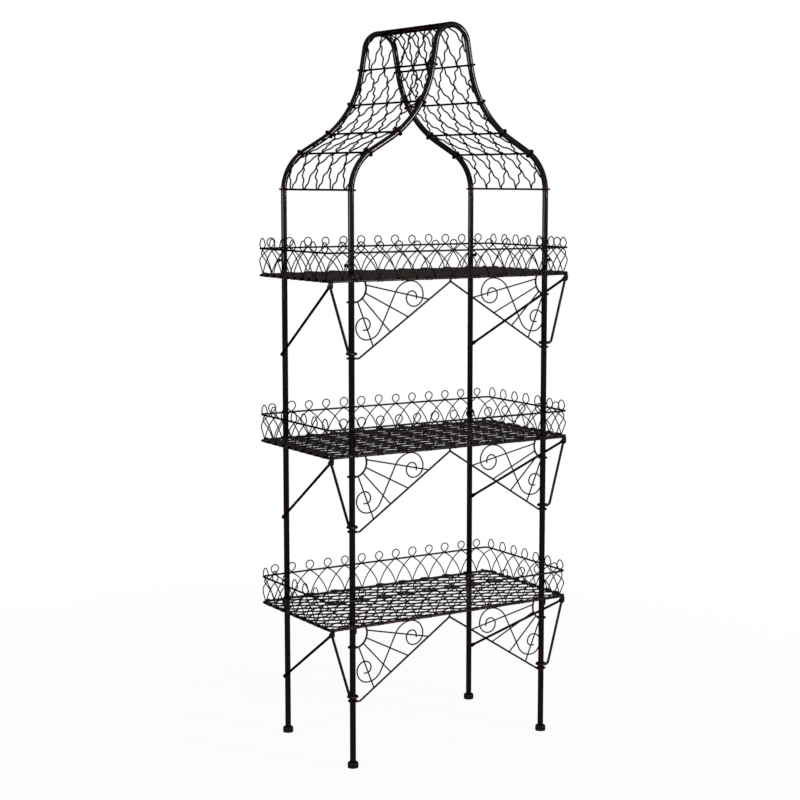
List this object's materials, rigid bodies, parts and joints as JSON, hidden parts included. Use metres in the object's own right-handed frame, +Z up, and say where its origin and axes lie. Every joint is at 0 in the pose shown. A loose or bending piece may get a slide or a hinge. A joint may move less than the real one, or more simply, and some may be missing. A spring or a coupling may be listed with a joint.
{
  "type": "bakers rack",
  "caption": "Free-standing wire bakers rack: tube posts, diamond-mesh trays with hooped galleries and scrolled brackets, under an open ogee mesh canopy.",
  "frame": {"origin": "centre of the four feet, on the floor", "axes": "+X along the trays to the right, +Y to the back, +Z up"},
  "size_m": [0.7722, 0.3994, 1.9691],
  "materials": {
    "tube": "satin",
    "rod": "satin",
    "wire": "satin",
    "fasteners": "satin",
    "feet": "matte"
  },
  "bodies": {
    "root": {"bottom_brace_screws": "fasteners", "bottom_deck": "wire", "bottom_fan_left": "wire", "bottom_fan_right": "wire", "bottom_gallery_rail": "wire", "bottom_hoops_corners": "wire", "bottom_hoops_front_rear": "wire", "bottom_hoops_left_right": "wire", "bottom_lugs": "rod", "bottom_rim": "rod", "bottom_scroll_left": "wire", "bottom_scroll_right": "wire", "bottom_spokes": "wire", "bottom_stays": "wire", "bottom_struts": "wire", "canopy_mesh_left": "wire", "canopy_mesh_right": "wire", "foot_front_left": "feet", "foot_front_right": "feet", "foot_rear_left": "feet", "foot_rear_right": "feet", "front_arch": "tube", "joint_screws": "fasteners", "middle_brace_screws": "fasteners", "middle_deck": "wire", "middle_fan_left": "wire", "middle_fan_right": "wire", "middle_gallery_rail": "wire", "middle_hoops_corners": "wire", "middle_hoops_front_rear": "wire", "middle_hoops_left_right": "wire", "middle_rim": "rod", "middle_scroll_left": "wire", "middle_scroll_right": "wire", "middle_spokes": "wire", "middle_stays": "wire", "middle_struts": "wire", "post_front_left": "tube", "post_front_right": "tube", "post_rear_left": "tube", "post_rear_right": "tube", "rear_arch": "tube", "ridge_bar": "tube", "spigots": "tube", "tie_rods_left": "rod", "tie_rods_right": "rod", "top_brace_screws": "fasteners", "top_deck": "wire", "top_fan_left": "wire", "top_fan_right": "wire", "top_gallery_rail": "wire", "top_hoops_corners": "wire", "top_hoops_front_rear": "wire", "top_hoops_left_right": "wire", "top_rim": "rod", "top_scroll_left": "wire", "top_scroll_right": "wire", "top_spokes": "wire", "top_stays": "wire", "top_struts": "wire"}
  },
  "joints": []
}
